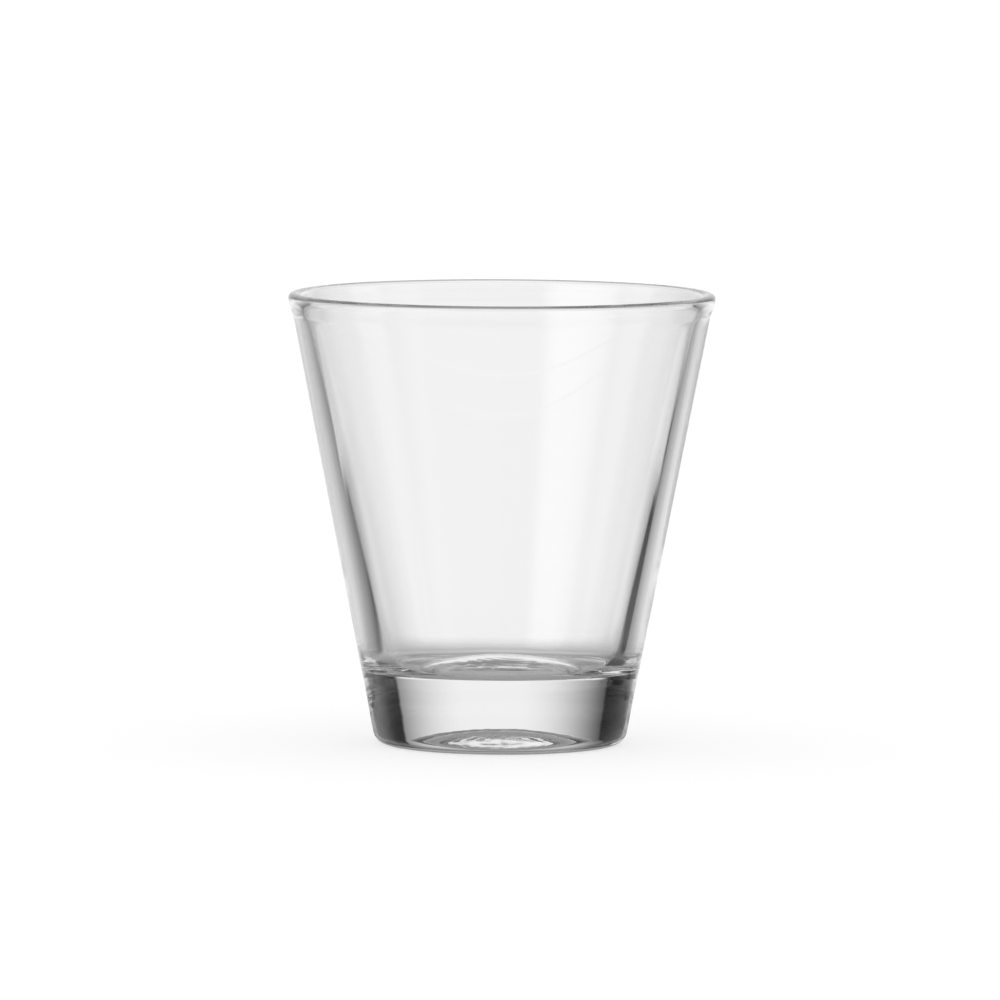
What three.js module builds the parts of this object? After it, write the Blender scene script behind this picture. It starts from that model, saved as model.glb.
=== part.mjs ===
// A conical whisky tumbler, pressed from one gob of clear glass: a straight flared wall that thickens downwards,
// a fire-polished lip, a domed floor, and a heavy base with a pushed-up underside that leaves a flat ring to stand on.
// Millimetres, +Z up, with the origin on the table under the middle of the glass.
import * as THREE from "three";

// Overall sizes
const HEIGHT = 90;
const RIM_DIAMETER = 85; // across the lip, the widest place
const BASE_DIAMETER = 49.7; // where the line of the outer wall, carried straight down, meets the table

// Lip: a full round that stands slightly proud of the outer wall
const LIP_RADIUS = 1.25;
const LIP_PROUD = 0.3;
const LIP_FLARE_HEIGHT = 4; // the stretch of wall over which the lip swells out

// Wall and base thicknesses
const WALL_AT_FLOOR = 5.3; // measured level, at the height of the floor's edge
const FLOOR_HEIGHT = 15.2; // table to the inside floor, at the edge of the floor

// Floor: domed, with a free curve between its edge and the inside wall
const FLOOR_CROWN = 2.2; // rise of the floor at its middle
const CROWN_FULLNESS = 0.535; // how far the dome stays flat from its middle and from its edge, from 0 to 1
const CORNER_RISE = 5.2; // height of the corner curve on the wall
const CORNER_RUN = 1.9; // and its breadth on the floor
const CORNER_TIGHTNESS = 0.675; // how far the curve keeps to the wall and to the floor, from 0 to 1

// Foot: the rounded outer edge, the flat ring and the push-up inside it
const FOOT_ROUND = 2.9;
const PUSH_UP_RADIUS = 16.7; // of the spherical push-up, where it would meet the table
const PUSH_UP_HEIGHT = 5.6;
const PUSH_UP_ROUND = 1.5; // round between the push-up and the flat ring

// Fineness of the facets
const ROUND_STEPS = 72; // facets around the glass
const CURVE_STEPS = 4; // facets along a free curve of the section; an arc has twice as many

const rimRadius = RIM_DIAMETER / 2;
const baseRadius = BASE_DIAMETER / 2;
const lip = { r: rimRadius - LIP_RADIUS, z: HEIGHT - LIP_RADIUS };

// Slope of the outer wall, as the angle that it leans out from upright
const outerLean = Math.atan2(rimRadius - LIP_PROUD - baseRadius, lip.z);

function outerWallRadius(z) {
  return baseRadius + z * Math.tan(outerLean);
}

// The inside wall touches the round of the lip, and comes down to the floor's height at its own thickness there.
function innerWallAtFloor() {
  return { r: outerWallRadius(FLOOR_HEIGHT) - WALL_AT_FLOOR, z: FLOOR_HEIGHT };
}

function innerWallLean(foot) {
  const across = lip.r - foot.r;
  const up = lip.z - foot.z;
  return Math.acos(LIP_RADIUS / Math.hypot(across, up)) - Math.atan2(up, across);
}

// Underside: spherical push-up, rounded into the flat ring
function addPushUp(section) {
  const ball = (PUSH_UP_RADIUS ** 2 + PUSH_UP_HEIGHT ** 2) / (2 * PUSH_UP_HEIGHT);
  const ballZ = PUSH_UP_HEIGHT - ball;
  const roundR = Math.sqrt((ball + PUSH_UP_ROUND) ** 2 - (PUSH_UP_ROUND - ballZ) ** 2);
  const meeting = Math.atan2(PUSH_UP_ROUND - ballZ, roundR);
  section.moveTo(0, PUSH_UP_HEIGHT);
  section.absarc(0, ballZ, ball, Math.PI / 2, meeting, true);
  section.absarc(roundR, PUSH_UP_ROUND, PUSH_UP_ROUND, meeting - Math.PI, -Math.PI / 2, false);
}

// Outside: flat ring, foot round, straight wall and the swell below the lip
function addOutside(section) {
  const footR = baseRadius + (FOOT_ROUND * (Math.sin(outerLean) - 1)) / Math.cos(outerLean);
  section.absarc(footR, FOOT_ROUND, FOOT_ROUND, -Math.PI / 2, -outerLean, false);
  const flareZ = lip.z - LIP_FLARE_HEIGHT;
  const reach = LIP_FLARE_HEIGHT / 3;
  section.lineTo(outerWallRadius(flareZ), flareZ);
  section.bezierCurveTo(outerWallRadius(flareZ + reach), flareZ + reach, rimRadius, lip.z - reach, rimRadius, lip.z);
}

// Inside: over the lip, down the inner wall and round into the floor's edge
function addInside(section) {
  const foot = innerWallAtFloor();
  const lean = innerWallLean(foot);
  section.absarc(lip.r, lip.z, LIP_RADIUS, 0, Math.PI / 2, false);
  section.absarc(lip.r, lip.z, LIP_RADIUS, Math.PI / 2, Math.PI - lean, false);
  const onWall = (z) => [foot.r + z * Math.tan(lean), foot.z + z];
  const onFloor = (run) => [foot.r - run, foot.z];
  section.lineTo(...onWall(CORNER_RISE));
  section.bezierCurveTo(
    ...onWall(CORNER_RISE * (1 - CORNER_TIGHTNESS)),
    ...onFloor(CORNER_RUN * (1 - CORNER_TIGHTNESS)),
    ...onFloor(CORNER_RUN),
  );
}

// Floor: from its edge up to the middle of the dome
function addFloor(section) {
  const edge = innerWallAtFloor().r - CORNER_RUN;
  const crownZ = FLOOR_HEIGHT + FLOOR_CROWN;
  section.bezierCurveTo(edge * (1 - CROWN_FULLNESS), FLOOR_HEIGHT, edge * CROWN_FULLNESS, crownZ, 0, crownZ);
}

function makeTumbler() {
  const section = new THREE.Path();
  addPushUp(section);
  addOutside(section);
  addInside(section);
  addFloor(section);
  const geometry = new THREE.LatheGeometry(section.getPoints(CURVE_STEPS), ROUND_STEPS);
  const clearGlass = new THREE.MeshStandardMaterial({
    name: "clear glass",
    color: 0xf4f7f6,
    roughness: 0.02,
    metalness: 0,
    transparent: true,
    opacity: 0.35,
  });
  const tumbler = new THREE.Mesh(geometry, clearGlass);
  tumbler.name = "tumbler";
  tumbler.rotation.x = Math.PI / 2; // the lathe turns about Y, and the glass stands along Z
  return tumbler;
}

const whiskyGlass = new THREE.Group();
whiskyGlass.add(makeTumbler());

export default whiskyGlass;
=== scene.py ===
"""A whisky tumbler of clear pressed glass on a pale floor, in soft studio light."""

import math

import bpy
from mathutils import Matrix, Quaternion, Vector, noise


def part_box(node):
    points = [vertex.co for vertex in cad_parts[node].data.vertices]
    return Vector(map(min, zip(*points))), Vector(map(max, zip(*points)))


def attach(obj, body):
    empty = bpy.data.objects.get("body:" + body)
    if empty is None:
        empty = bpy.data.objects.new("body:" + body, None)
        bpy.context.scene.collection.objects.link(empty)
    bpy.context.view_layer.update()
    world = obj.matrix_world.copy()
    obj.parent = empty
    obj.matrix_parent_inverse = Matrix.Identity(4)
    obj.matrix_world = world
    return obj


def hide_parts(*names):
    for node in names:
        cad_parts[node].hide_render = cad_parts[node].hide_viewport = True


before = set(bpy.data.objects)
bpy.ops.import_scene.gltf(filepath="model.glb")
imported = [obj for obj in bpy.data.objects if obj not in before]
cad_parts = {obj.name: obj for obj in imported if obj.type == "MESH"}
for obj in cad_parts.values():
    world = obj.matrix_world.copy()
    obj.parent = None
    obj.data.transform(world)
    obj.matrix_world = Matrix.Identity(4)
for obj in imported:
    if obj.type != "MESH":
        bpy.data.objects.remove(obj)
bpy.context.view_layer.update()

MM = 0.001
GLASS_NODE = "tumbler"
GLASS_SLOT = "clear_glass"

# Section of the glass, in millimetres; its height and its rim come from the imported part
LOW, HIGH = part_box(GLASS_NODE)
HEIGHT = (HIGH.z - LOW.z) / MM
RIM_RADIUS = (HIGH.x - LOW.x) / 2 / MM
BASE_RADIUS = 24.85  # where the outer wall, carried straight down, meets the table
LIP_HALF_WIDTH = 1.37
LIP_HALF_HEIGHT = 1.0
LIP_PROUD = 0.3
LIP_FLARE_HEIGHT = 4.0
WALL_AT_FLOOR = 5.3
FLOOR_HEIGHT = 15.2
FLOOR_CROWN = 2.2
CROWN_FULLNESS = 0.535
CORNER_RISE = 5.2
CORNER_RUN = 1.9
CORNER_TIGHTNESS = 0.675
FOOT_ROUND = 2.9
PUSH_UP_RADIUS = 16.7
PUSH_UP_HEIGHT = 5.6
PUSH_UP_ROUND = 1.5
BOWL_SHIFT = 0.2  # of the bowl's floor, off the middle of the glass towards +X

LIP = (RIM_RADIUS - LIP_HALF_WIDTH, HEIGHT - LIP_HALF_HEIGHT)
OUTER_LEAN = math.atan2(RIM_RADIUS - LIP_PROUD - BASE_RADIUS, LIP[1])

# Unevenness of pressed glass, in millimetres: rings on the underside and the bowl's floor, and soft waves
RING_DEPTH = 0.006
FLOOR_RING_DEPTH = 0.02
FLOOR_RING_RADIUS = 20.0
RING_OFFSET = 2.0  # of the rings' middle, towards +X
RING_SPACING = 2.2
RING_WANDER = 1.6
RING_WANDER_LENGTH = 10.0
RING_WANDER_LEVEL = 7.0  # the height at which the rings' noise is cut
WAVE_FOOT = 0.02
WAVE_FLOOR = 0.01
WAVE_WALL = 0.004
WAVE_LENGTH = 5.0
WALL_WAVE_LENGTH = 16.0
WALL_WAVE_STRETCH = 3.0  # upright, against across

# Fineness of the mesh: steps round the glass, and along each stretch of the section
ROUND_STEPS = 256
PUSH_UP_STEPS = 60
PUSH_UP_ROUND_STEPS = 10
STANDING_RING_STEPS = 8
FOOT_STEPS = 24
WALL_STEPS = 48
FLARE_STEPS = 12
LIP_STEPS = 44
CORNER_STEPS = 40
FLOOR_STEPS = 36
SAME_POINT = 1e-6  # points of the section that lie closer are one, in millimetres
MIDDLES = 2  # the section's ends, single vertices that come before the rings

# Clear glass
GLASS_IOR = 1.52
ABSORPTION_GREY = 0.92
ABSORPTION_DENSITY = 8.0

# Finish of the glass, in millimetres: faint chill marks from the mould low on it, and a worn standing ring
CHILL_HEIGHT, CHILL_NONE = 11.0, 19.0
CHILL_LENGTH = 3.0
CHILL_DEPTH = 0.02
WEAR_HEIGHT, WEAR_NONE = 0.1, 0.5
WEAR_LENGTH = 0.7
WEAR_ROUGHNESS = 0.2

# Light runs round inside the lip for many bounces
BOUNCES = 128

# Camera, in millimetres and degrees
CAMERA_DISTANCE = 2219.0
CAMERA_HEIGHT = 236.0
AIM_HEIGHT = 48.6
AIM_ACROSS = -0.2
CAMERA_ROLL = 0.25
CAMERA_LENS = 402.5
SENSOR_WIDTH = 36.0
FARTHEST_SEEN = 100000.0

# Even light of the studio on everything outside the glass
SOFT_LIGHT = 1.0

# Studio as the glass shows it: angles in degrees, azimuth 0 straight behind the glass and + to its right.
# A lit backdrop fades sideways, and ends sharply on both sides.
BACKDROP = 0.935
BACKDROP_MIDDLE = 2.5
BACKDROP_FULL = 6.7
BACKDROP_NONE = 50.7
BACKDROP_LEFT, BACKDROP_RIGHT, BACKDROP_EDGE = -40.3, 37.7, 1.2
# Higher up the backdrop is wider to the left, so that azimuths count for less on it
WIDE_LEFT = 0.87
WIDE_FROM, WIDE_FULL = 9.0, 18.0
MIDDLE_BLEND = 1.0
# Past the backdrop are dark sides, with a pale panel each, and a lit wall in front of the glass
LEFT_SIDE, RIGHT_SIDE, NEAR_SIDES = 0.025, 0.11, 0.003
NEAR_SIDES_TO, SIDES_FROM = 42.0, 62.0
PANEL = 0.8
PANEL_AZIMUTH, PANEL_HALF_WIDTH, PANEL_EDGE = 90.0, 7.0, 8.0
FRONT = 0.55
FRONT_FROM, FRONT_FULL = 104.0, 130.0
FRONT_TOP, FRONT_NONE = 20.0, 32.0
# Above the backdrop is a dim ceiling with a bright middle
BACKDROP_TOP, CEILING_FROM = 18.0, 30.0
CEILING, SIDE_CEILING = 0.25, 0.07
CEILING_AZIMUTH, SIDE_CEILING_AZIMUTH = 25.0, 48.0
OVERHEAD = 0.9
OVERHEAD_FROM, OVERHEAD_FULL = 60.0, 76.0
# Two tall soft boxes in front of the glass: azimuth, half width, edge and strength
SOFT_BOXES = ((-128.0, 16.0, 14.0, 1.0), (112.0, 10.0, 12.0, 0.3))
SOFT_BOX_HEIGHT, SOFT_BOX_HALF_HEIGHT, SOFT_BOX_EDGE = 25.0, 20.0, 10.0

# Studio floor, in millimetres
STUDIO_FLOOR_SIDES = 96
STUDIO_FLOOR_RADIUS = 6000.0
STUDIO_FLOOR_GAP = 0.05  # below the glass
FLOOR_COLOUR = 0.35
FLOOR_GLOW = 0.68

# This floor as the glass shows it: radii in millimetres, sight lines by the Layer Weight's facing value.
# There is painted shade under the foot, then pale floor, which is painted dimmer where it is seen steeply.
FLOOR_SHADE = 0.3
FLOOR_PALE, FLOOR_STEEP = 0.93, 0.38
STEEP_FACING, PALE_FACING = 0.117, 0.53
SHADE_RADIUS, PALE_RADIUS = 25.0, 92.0
# Beside the glass it is painted dimmer, with the deepest painted shade near the foot on the right
SIDE_FLOOR, NEAR_RIGHT_FLOOR = 0.75, 0.2
SIDE_FLOOR_RADIUS, NEAR_FLOOR_RADIUS = 38.0, 60.0
BACK_FLOOR_AZIMUTH, SIDE_FLOOR_FROM = 30.0, 60.0
SIDE_FLOOR_TO, FRONT_FLOOR_AZIMUTH = 120.0, 150.0
# Behind the glass it turns glossy towards grazing sight lines, with its reflection painted darker towards
# the foot
MATT_FACING, GLOSS_FACING = 0.566, 0.666
GLOSS_AZIMUTH, MATT_AZIMUTH = 62.0, 76.0
GLOSS_SHADE = 0.365
GLOSS_SHADE_RADIUS, GLOSS_PALE_RADIUS = 23.5, 129.0
# Further out, past an azimuth and seen steeply enough, it is matt again
PATCH_FROM_AZIMUTH, PATCH_AZIMUTH = 46.5, 50.0
PATCH_FACING, PATCH_END_FACING = 0.7, 0.73
PATCH_FROM_RADIUS, PATCH_RADIUS = 165.0, 205.0
# Straight behind the glass and far away it is white
FAR_FLOOR = 0.925
FAR_FROM_FACING, FAR_FACING = 0.82, 0.88
FAR_AZIMUTH, FAR_AZIMUTH_NONE = 26.0, 38.0


# Curves in the section plane

def oval_points(centre, half_width, half_height, start, end, steps):
    """Points of an oval's arc, from one angle to another, ends included."""
    angles = [start + (end - start) * i / steps for i in range(steps + 1)]
    return [(centre[0] + half_width * math.cos(a), centre[1] + half_height * math.sin(a)) for a in angles]


def arc_points(centre, radius, start, end, steps):
    """Points of a circular arc, from one angle to another, ends included."""
    return oval_points(centre, radius, radius, start, end, steps)


def line_points(start, end, steps):
    """Points of a straight line, ends included."""
    shares = [i / steps for i in range(steps + 1)]
    return [tuple(a + (b - a) * t for a, b in zip(start, end)) for t in shares]


def bezier_points(ends, handles, steps):
    """Points of a cubic curve, ends included."""
    controls = (ends[0], handles[0], handles[1], ends[1])
    points = []
    for i in range(steps + 1):
        t = i / steps
        weights = ((1 - t) ** 3, 3 * t * (1 - t) ** 2, 3 * t * t * (1 - t), t**3)
        points.append(tuple(sum(w * c[k] for w, c in zip(weights, controls)) for k in (0, 1)))
    return points


# Section of the glass, as points of (radius, height)

def outer_wall(z):
    """The point of the straight outer wall at a height."""
    return (BASE_RADIUS + z * math.tan(OUTER_LEAN), z)


def push_up_points():
    """The spherical push-up from its middle, and its round into the standing ring."""
    ball = (PUSH_UP_RADIUS**2 + PUSH_UP_HEIGHT**2) / (2 * PUSH_UP_HEIGHT)
    ball_z = PUSH_UP_HEIGHT - ball
    round_r = math.sqrt((ball + PUSH_UP_ROUND) ** 2 - (PUSH_UP_ROUND - ball_z) ** 2)
    meeting = math.atan2(PUSH_UP_ROUND - ball_z, round_r)
    middle = (round_r, PUSH_UP_ROUND)
    return [
        *arc_points((0, ball_z), ball, math.pi / 2, meeting, PUSH_UP_STEPS),
        *arc_points(middle, PUSH_UP_ROUND, meeting - math.pi, -math.pi / 2, PUSH_UP_ROUND_STEPS),
    ]


def foot_points(start):
    """The flat standing ring from a start point, and the foot's round up to the outer wall."""
    foot_r = BASE_RADIUS + FOOT_ROUND * (math.sin(OUTER_LEAN) - 1) / math.cos(OUTER_LEAN)
    return [
        *line_points(start, (foot_r, 0), STANDING_RING_STEPS),
        *arc_points((foot_r, FOOT_ROUND), FOOT_ROUND, -math.pi / 2, -OUTER_LEAN, FOOT_STEPS),
    ]


def outside_points(start):
    """The straight outer wall from a start point, and the swell below the lip."""
    flare = outer_wall(LIP[1] - LIP_FLARE_HEIGHT)
    reach = LIP_FLARE_HEIGHT / 3
    handles = (outer_wall(flare[1] + reach), (RIM_RADIUS, LIP[1] - reach))
    return [
        *line_points(start, flare, WALL_STEPS),
        *bezier_points((flare, (RIM_RADIUS, LIP[1])), handles, FLARE_STEPS),
    ]


def inside_points():
    """Over the lip, down the inner wall, round the corner and up the domed floor to its middle."""
    floor_r = outer_wall(FLOOR_HEIGHT)[0] - WALL_AT_FLOOR
    # The inner wall touches the lip's oval, worked out with heights stretched until the oval is a circle
    stretch = LIP_HALF_WIDTH / LIP_HALF_HEIGHT
    across = LIP[0] - floor_r
    up = (LIP[1] - FLOOR_HEIGHT) * stretch
    stretched_lean = math.acos(LIP_HALF_WIDTH / math.hypot(across, up)) - math.atan2(up, across)
    inner_lean = math.atan(math.tan(stretched_lean) * stretch)

    def on_wall(rise):
        return (floor_r + rise * math.tan(inner_lean), FLOOR_HEIGHT + rise)

    def on_floor(run):
        return (floor_r - run, FLOOR_HEIGHT)

    lip = oval_points(LIP, LIP_HALF_WIDTH, LIP_HALF_HEIGHT, 0, math.pi - stretched_lean, LIP_STEPS)
    corner_top, corner_end = on_wall(CORNER_RISE), on_floor(CORNER_RUN)
    loose = 1 - CORNER_TIGHTNESS
    corner_handles = (on_wall(CORNER_RISE * loose), on_floor(CORNER_RUN * loose))
    crown = (0, FLOOR_HEIGHT + FLOOR_CROWN)
    crown_handles = (
        (corner_end[0] * (1 - CROWN_FULLNESS), FLOOR_HEIGHT),
        (corner_end[0] * CROWN_FULLNESS, crown[1]),
    )
    return [
        *lip,
        *line_points(lip[-1], corner_top, WALL_STEPS),
        *bezier_points((corner_top, corner_end), corner_handles, CORNER_STEPS),
        *bezier_points((corner_end, crown), crown_handles, FLOOR_STEPS),
    ]


def section_points():
    """The half section, from the middle of the underside to the middle of the floor."""
    points = push_up_points()
    points += foot_points(points[-1])
    points += outside_points(points[-1])
    points += inside_points()
    # Stretches share their end points, so each is kept once
    kept = points[:1]
    for point in points[1:]:
        if math.dist(point, kept[-1]) > SAME_POINT:
            kept.append(point)
    return kept


# Mesh of the glass

def covered(distance, length):
    """The share of a length that a distance covers, from 0 to 1."""
    return max(0.0, min(1.0, distance / length))


def ripple(x, y, depth):
    """Uneven rings round a middle of their own, as the mould leaves them, in millimetres."""
    across = x - RING_OFFSET
    wander = RING_WANDER * noise.noise(Vector((across, y, RING_WANDER_LEVEL)) / RING_WANDER_LENGTH)
    return depth * math.sin(2 * math.pi * (math.hypot(across, y) + wander) / RING_SPACING)


def waver(place, inside):
    """How far the surface stands off its true section at a place, in millimetres."""
    x, y, z = place
    radius = math.hypot(x, y)
    fine = noise.noise(Vector(place) / WAVE_LENGTH)
    broad = noise.noise(Vector((x, y, z / WALL_WAVE_STRETCH)) / WALL_WAVE_LENGTH)
    below_lip = covered(HEIGHT - LIP_HALF_HEIGHT - z, LIP_FLARE_HEIGHT)
    if inside:
        low = covered(FLOOR_HEIGHT + 2 * CORNER_RISE - z, CORNER_RISE)
        rings = covered(FLOOR_RING_RADIUS - radius, RING_SPACING) * ripple(x, y, FLOOR_RING_DEPTH)
        return below_lip * WAVE_WALL * broad + low * WAVE_FLOOR * fine + rings
    if radius < PUSH_UP_RADIUS:
        on_push_up = covered(PUSH_UP_RADIUS - radius, PUSH_UP_ROUND)
        return on_push_up * (ripple(x, y, RING_DEPTH) + WAVE_FOOT * fine)
    low = covered(FLOOR_HEIGHT + CORNER_RISE - z, CORNER_RISE)
    above_foot = covered(z, FOOT_ROUND)
    return min(above_foot, below_lip) * (WAVE_WALL * broad + low * WAVE_FOOT * fine)


def outward(section, number):
    """The direction out of the glass at one of the section's points."""
    before, after = section[number - 1], section[number + 1]
    along = (after[0] - before[0], after[1] - before[1])
    length = math.hypot(*along)
    return (along[1] / length, -along[0] / length)


def glass_vertices(section):
    """The two middles, then a ring for each other point of the section, in metres."""
    top = max(range(len(section)), key=lambda i: section[i][1])
    vertices = [(0, 0, section[0][1] * MM), (BOWL_SHIFT * MM, 0, section[-1][1] * MM)]
    for number, (radius, z) in enumerate(section[1:-1], start=1):
        inside = number > top
        shift = BOWL_SHIFT * covered(HEIGHT - z, HEIGHT - FLOOR_HEIGHT) if inside else 0
        out_r, out_z = outward(section, number)
        for step in range(ROUND_STEPS):
            angle = 2 * math.pi * step / ROUND_STEPS
            across, up = math.cos(angle), math.sin(angle)
            off = waver((radius * across, radius * up, z), inside)
            out = radius + off * out_r
            vertices.append(((out * across + shift) * MM, out * up * MM, (z + off * out_z) * MM))
    return vertices


def glass_faces(rings):
    """Triangles round the two middles, and quads between neighbouring rings, all facing out."""

    def at(ring, step):
        return MIDDLES + ring * ROUND_STEPS + step % ROUND_STEPS

    faces = []
    last = rings - 1
    for step in range(ROUND_STEPS):
        faces.append((0, at(0, step + 1), at(0, step)))
        faces.append((1, at(last, step), at(last, step + 1)))
        for ring in range(last):
            faces.append((at(ring, step), at(ring, step + 1), at(ring + 1, step + 1), at(ring + 1, step)))
    return faces


def glass_piece(name):
    """A closed smooth mesh of the section turned about the upright axis, with the glass's unevenness."""
    section = section_points()
    mesh = bpy.data.meshes.new(name)
    mesh.from_pydata(glass_vertices(section), [], glass_faces(len(section) - MIDDLES))
    mesh.polygons.foreach_set("use_smooth", [True] * len(mesh.polygons))
    mesh.update()
    mesh.materials.append(glass_material())
    piece = bpy.data.objects.new(name, mesh)
    bpy.context.scene.collection.objects.link(piece)
    return piece


# Helpers for shader nodes, whose values are sockets or numbers

def grey(level):
    """A grey as a colour."""
    return (level, level, level, 1)


def feed(tree, value, socket):
    """Links a socket to an input, or sets the input to a number or a grey."""
    if not isinstance(value, (int, float)):
        tree.links.new(value, socket)
    elif socket.type == "RGBA":
        socket.default_value = grey(value)
    else:
        socket.default_value = value


def math_node(tree, operation, *values):
    """The output of a Math node."""
    node = tree.nodes.new("ShaderNodeMath")
    node.operation = operation
    for value, socket in zip(values, node.inputs):
        feed(tree, value, socket)
    return node.outputs[0]


def product(tree, *factors):
    """The product of all factors."""
    total = factors[0]
    for factor in factors[1:]:
        total = math_node(tree, "MULTIPLY", total, factor)
    return total


def total_of(tree, *terms):
    """The sum of all terms."""
    total = terms[0]
    for term in terms[1:]:
        total = math_node(tree, "ADD", total, term)
    return total


def between(tree, share, first, second):
    """The first value where share is 0, the second where it is 1."""
    rest = math_node(tree, "SUBTRACT", 1, share)
    return total_of(tree, product(tree, rest, first), product(tree, share, second))


def apart(tree, value, middle):
    """How far a value lies from a middle value."""
    return math_node(tree, "ABSOLUTE", math_node(tree, "SUBTRACT", value, middle))


def fall(tree, value, full, none):
    """1 at the value full and past it, going smoothly to 0 at the value none; either may be the greater."""
    node = tree.nodes.new("ShaderNodeMapRange")
    node.interpolation_type = "SMOOTHSTEP"
    node.inputs["From Min"].default_value = full
    node.inputs["From Max"].default_value = none
    node.inputs["To Min"].default_value = 1
    node.inputs["To Max"].default_value = 0
    tree.links.new(value, node.inputs["Value"])
    return node.outputs["Result"]


def cloud(tree, place, length):
    """Soft noise from 0 to 1, with lumps about as long as given, in millimetres."""
    node = tree.nodes.new("ShaderNodeTexNoise")
    node.inputs["Scale"].default_value = 1 / (length * MM)
    tree.links.new(place, node.inputs["Vector"])
    return node.outputs[0]


def coordinates(tree, kind):
    """One kind of texture coordinates."""
    return tree.nodes.new("ShaderNodeTexCoord").outputs[kind]


def parts_of(tree, vector):
    """The X, Y and Z of a vector, by name."""
    node = tree.nodes.new("ShaderNodeSeparateXYZ")
    tree.links.new(vector, node.inputs[0])
    return node.outputs


def azimuth_of(tree, parts):
    """The azimuth of a vector in degrees, from its parts."""
    return math_node(tree, "DEGREES", math_node(tree, "ARCTAN2", parts["X"], parts["Y"]))


# Shaders, given as their output sockets

def background(tree, level):
    """A Background of one grey level."""
    node = tree.nodes.new("ShaderNodeBackground")
    feed(tree, level, node.inputs["Color"])
    return node.outputs[0]


def glow(tree, level):
    """An Emission of one grey level."""
    node = tree.nodes.new("ShaderNodeEmission")
    feed(tree, level, node.inputs["Color"])
    return node.outputs[0]


def mixed(tree, share, first, second):
    """The first shader where share is 0, the second where it is 1."""
    node = tree.nodes.new("ShaderNodeMixShader")
    tree.links.new(share, node.inputs[0])
    tree.links.new(first, node.inputs[1])
    tree.links.new(second, node.inputs[2])
    return node.outputs[0]


def seen_in_glass(tree):
    """1 for rays that come through or off the glass, otherwise 0."""
    path = tree.nodes.new("ShaderNodeLightPath")
    return math_node(tree, "MAXIMUM", path.outputs["Is Glossy Ray"], path.outputs["Is Transmission Ray"])


# Glass

def glass_material():
    """Clear colourless glass, faintly uneven where the mould chilled it and worn where it stands."""
    material = bpy.data.materials.new(GLASS_SLOT)
    material.use_nodes = True
    tree = material.node_tree
    shader = tree.nodes["Principled BSDF"]
    shader.inputs["Base Color"].default_value = grey(1)
    shader.inputs["IOR"].default_value = GLASS_IOR
    shader.inputs["Transmission Weight"].default_value = 1.0
    volume = tree.nodes.new("ShaderNodeVolumeAbsorption")
    volume.inputs["Color"].default_value = grey(ABSORPTION_GREY)
    volume.inputs["Density"].default_value = ABSORPTION_DENSITY
    tree.links.new(volume.outputs[0], tree.nodes["Material Output"].inputs["Volume"])
    place = coordinates(tree, "Object")
    height = math_node(tree, "DIVIDE", parts_of(tree, place)["Z"], MM)
    worn = fall(tree, height, WEAR_HEIGHT, WEAR_NONE)
    roughness = product(tree, worn, cloud(tree, place, WEAR_LENGTH), WEAR_ROUGHNESS)
    tree.links.new(roughness, shader.inputs["Roughness"])
    chilled = fall(tree, height, CHILL_HEIGHT, CHILL_NONE)
    bump = tree.nodes.new("ShaderNodeBump")
    bump.inputs["Distance"].default_value = CHILL_DEPTH * MM
    tree.links.new(product(tree, chilled, cloud(tree, place, CHILL_LENGTH)), bump.inputs["Height"])
    tree.links.new(bump.outputs["Normal"], shader.inputs["Normal"])
    return material


# Studio as the glass shows it

def backdrop_light(tree, azimuth, elevation, leftward):
    """The lit backdrop, over the darkness of the near sides."""
    wide = product(tree, fall(tree, elevation, WIDE_FULL, WIDE_FROM), leftward)
    across = product(tree, azimuth, between(tree, wide, 1, WIDE_LEFT))
    return product(
        tree,
        fall(tree, apart(tree, across, BACKDROP_MIDDLE), BACKDROP_FULL, BACKDROP_NONE),
        fall(tree, across, BACKDROP_LEFT + BACKDROP_EDGE, BACKDROP_LEFT - BACKDROP_EDGE),
        fall(tree, across, BACKDROP_RIGHT - BACKDROP_EDGE, BACKDROP_RIGHT + BACKDROP_EDGE),
        BACKDROP - NEAR_SIDES,
    )


def side_light(tree, round_from_back, leftward):
    """The dark sides, darkest next to the backdrop, each with its pale panel."""
    near = fall(tree, round_from_back, NEAR_SIDES_TO, SIDES_FROM)
    sides = between(tree, near, between(tree, leftward, RIGHT_SIDE, LEFT_SIDE), NEAR_SIDES)
    off_panel = apart(tree, round_from_back, PANEL_AZIMUTH)
    panel = fall(tree, off_panel, PANEL_HALF_WIDTH, PANEL_HALF_WIDTH + PANEL_EDGE)
    return total_of(tree, sides, product(tree, panel, PANEL - RIGHT_SIDE))


def front_light(tree, round_from_back, elevation):
    """The lit wall in front of the glass."""
    front = fall(tree, round_from_back, FRONT_FULL, FRONT_FROM)
    return product(tree, front, fall(tree, elevation, FRONT_TOP, FRONT_NONE), FRONT - RIGHT_SIDE)


def ceiling_light(tree, round_from_back, elevation):
    """The dim ceiling and its bright middle overhead."""
    behind = fall(tree, round_from_back, CEILING_AZIMUTH, SIDE_CEILING_AZIMUTH)
    high = fall(tree, elevation, CEILING_FROM, BACKDROP_TOP)
    overhead = fall(tree, elevation, OVERHEAD_FULL, OVERHEAD_FROM)
    return total_of(
        tree,
        product(tree, high, between(tree, behind, SIDE_CEILING, CEILING)),
        product(tree, overhead, OVERHEAD - SIDE_CEILING),
    )


def soft_box_light(tree, azimuth, elevation):
    """The soft boxes in front of the glass."""
    above = apart(tree, elevation, SOFT_BOX_HEIGHT)
    height = fall(tree, above, SOFT_BOX_HALF_HEIGHT, SOFT_BOX_HALF_HEIGHT + SOFT_BOX_EDGE)
    boxes = []
    for middle, half_width, edge, strength in SOFT_BOXES:
        width = fall(tree, apart(tree, azimuth, middle), half_width, half_width + edge)
        boxes.append(product(tree, width, height, strength))
    return total_of(tree, *boxes)


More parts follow.
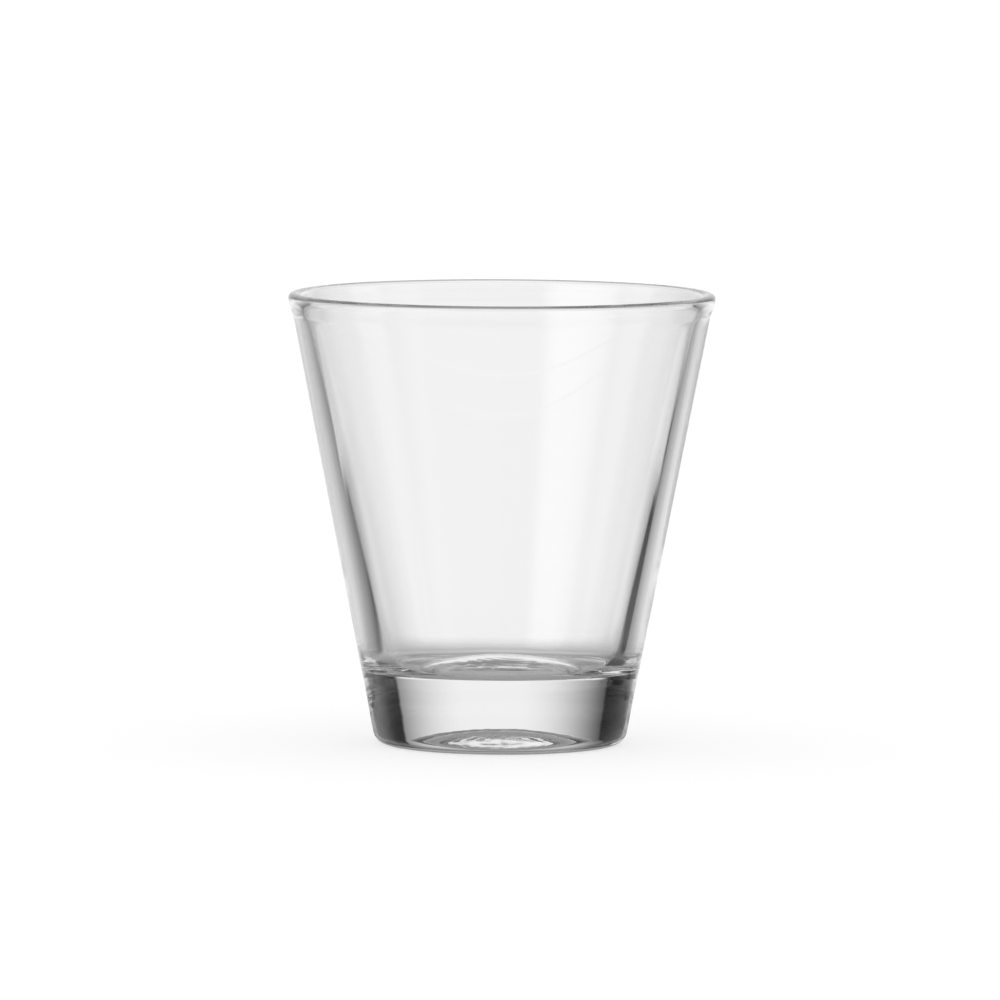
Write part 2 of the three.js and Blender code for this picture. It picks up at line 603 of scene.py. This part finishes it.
def studio_light(tree):
    """The brightness that the studio shows in the glass, in the direction of the ray."""
    parts = parts_of(tree, coordinates(tree, "Generated"))
    azimuth = azimuth_of(tree, parts)
    elevation = math_node(tree, "DEGREES", math_node(tree, "ARCSINE", parts["Z"]))
    round_from_back = math_node(tree, "ABSOLUTE", azimuth)
    leftward = fall(tree, azimuth, -MIDDLE_BLEND, MIDDLE_BLEND)
    horizon = total_of(
        tree,
        side_light(tree, round_from_back, leftward),
        backdrop_light(tree, azimuth, elevation, leftward),
    )
    return total_of(
        tree,
        product(tree, horizon, fall(tree, elevation, BACKDROP_TOP, CEILING_FROM)),
        ceiling_light(tree, round_from_back, elevation),
        front_light(tree, round_from_back, elevation),
        soft_box_light(tree, azimuth, elevation),
    )


def studio_world():
    """Even light outside the glass, and the studio where a ray comes through or off the glass."""
    world = bpy.data.worlds.new("studio")
    bpy.context.scene.world = world
    world.use_nodes = True
    tree = world.node_tree
    tree.nodes.clear()
    plain = background(tree, SOFT_LIGHT)
    studio = background(tree, studio_light(tree))
    output = tree.nodes.new("ShaderNodeOutputWorld")
    tree.links.new(mixed(tree, seen_in_glass(tree), plain, studio), output.inputs["Surface"])


# Floor

def painted_matt_floor(tree, radius, azimuth, facing):
    """A glow standing in for the pale matt floor that the glass shows, with painted shade under the foot
    and painted dimmer sides.
    """
    round_from_back = math_node(tree, "ABSOLUTE", azimuth)
    # Painted shade under the foot, and painted dimming where the floor is seen steeply
    shade = fall(tree, radius, SHADE_RADIUS, PALE_RADIUS)
    steep = fall(tree, facing, STEEP_FACING, PALE_FACING)
    middle = between(tree, shade, between(tree, steep, FLOOR_PALE, FLOOR_STEEP), FLOOR_SHADE)
    # Painted shade beside the glass, deepest near the foot on the right
    side = product(
        tree,
        fall(tree, round_from_back, SIDE_FLOOR_FROM, BACK_FLOOR_AZIMUTH),
        fall(tree, round_from_back, SIDE_FLOOR_TO, FRONT_FLOOR_AZIMUTH),
        fall(tree, radius, SIDE_FLOOR_RADIUS, SHADE_RADIUS),
    )
    near_right = product(
        tree,
        fall(tree, radius, NEAR_FLOOR_RADIUS, PALE_RADIUS),
        fall(tree, azimuth, MIDDLE_BLEND, -MIDDLE_BLEND),
    )
    side_level = between(tree, near_right, SIDE_FLOOR, NEAR_RIGHT_FLOOR)
    return glow(tree, product(tree, middle, between(tree, side, 1, side_level)))


def glossy_floor(tree, radius):
    """The glossy floor that the glass shows, its reflection painted darker towards the foot."""
    gloss = tree.nodes.new("ShaderNodeBsdfGlossy")
    gloss.inputs["Roughness"].default_value = 0.0
    # Painted shade on the reflection, darker towards the foot
    shade = fall(tree, radius, GLOSS_SHADE_RADIUS, GLOSS_PALE_RADIUS)
    tree.links.new(between(tree, shade, 1, GLOSS_SHADE), gloss.inputs["Color"])
    return gloss.outputs[0]


def floor_in_glass(tree):
    """The floor as the glass shows it: a matt glow with painted shade round it, glossy behind it with
    painted shade towards the foot, and white far behind.
    """
    place = coordinates(tree, "Object")
    length = tree.nodes.new("ShaderNodeVectorMath")
    length.operation = "LENGTH"
    tree.links.new(place, length.inputs[0])
    radius = math_node(tree, "DIVIDE", length.outputs["Value"], MM)
    azimuth = azimuth_of(tree, parts_of(tree, place))
    round_from_back = math_node(tree, "ABSOLUTE", azimuth)
    facing = tree.nodes.new("ShaderNodeLayerWeight").outputs["Facing"]
    patch = product(
        tree,
        fall(tree, round_from_back, PATCH_AZIMUTH, PATCH_FROM_AZIMUTH),
        fall(tree, facing, PATCH_FACING, PATCH_END_FACING),
        fall(tree, radius, PATCH_RADIUS, PATCH_FROM_RADIUS),
    )
    glossy = product(
        tree,
        fall(tree, facing, GLOSS_FACING, MATT_FACING),
        fall(tree, round_from_back, GLOSS_AZIMUTH, MATT_AZIMUTH),
        between(tree, patch, 1, 0),
    )
    far = product(
        tree,
        fall(tree, facing, FAR_FACING, FAR_FROM_FACING),
        fall(tree, round_from_back, FAR_AZIMUTH, FAR_AZIMUTH_NONE),
    )
    near = mixed(tree, glossy, painted_matt_floor(tree, radius, azimuth, facing), glossy_floor(tree, radius))
    return mixed(tree, far, near, glow(tree, FAR_FLOOR))


def pale_floor():
    """A round floor that is almost white and keeps the glass's shadow."""
    bpy.ops.mesh.primitive_circle_add(
        vertices=STUDIO_FLOOR_SIDES,
        radius=STUDIO_FLOOR_RADIUS * MM,
        fill_type="NGON",
        location=(0, 0, -STUDIO_FLOOR_GAP * MM),
    )
    floor = bpy.context.object
    floor.name = "floor"
    material = bpy.data.materials.new("pale_floor")
    material.use_nodes = True
    tree = material.node_tree
    matt = tree.nodes["Principled BSDF"]
    matt.inputs["Base Color"].default_value = grey(FLOOR_COLOUR)
    matt.inputs["Roughness"].default_value = 1.0
    matt.inputs["Specular IOR Level"].default_value = 0.0
    matt.inputs["Emission Color"].default_value = grey(1)
    matt.inputs["Emission Strength"].default_value = FLOOR_GLOW
    # Rays through or off the glass see the floor's painted glow and painted shade instead of the lit floor
    surface = mixed(tree, seen_in_glass(tree), matt.outputs[0], floor_in_glass(tree))
    tree.links.new(surface, tree.nodes["Material Output"].inputs["Surface"])
    floor.data.materials.append(material)


# Camera

def camera():
    """The photograph's camera, which looks slightly down at the middle of the glass."""
    data = bpy.data.cameras.new("camera")
    data.lens = CAMERA_LENS
    data.sensor_width = SENSOR_WIDTH
    data.clip_end = FARTHEST_SEEN * MM
    eye = bpy.data.objects.new("camera", data)
    bpy.context.scene.collection.objects.link(eye)
    eye.location = (AIM_ACROSS * MM, -CAMERA_DISTANCE * MM, CAMERA_HEIGHT * MM)
    aim = Vector((AIM_ACROSS * MM, 0, AIM_HEIGHT * MM)) - eye.location
    roll = Quaternion((0, 0, 1), math.radians(CAMERA_ROLL))
    eye.rotation_mode = "QUATERNION"
    eye.rotation_quaternion = aim.to_track_quat("-Z", "Y") @ roll
    bpy.context.scene.camera = eye


scene = bpy.context.scene
scene.view_settings.view_transform = "Standard"
scene.cycles.max_bounces = BOUNCES
scene.cycles.glossy_bounces = BOUNCES
scene.cycles.transmission_bounces = BOUNCES

camera()
studio_world()
pale_floor()
glass = glass_piece("glass_tumbler")
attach(glass, "root")
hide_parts(GLASS_NODE)
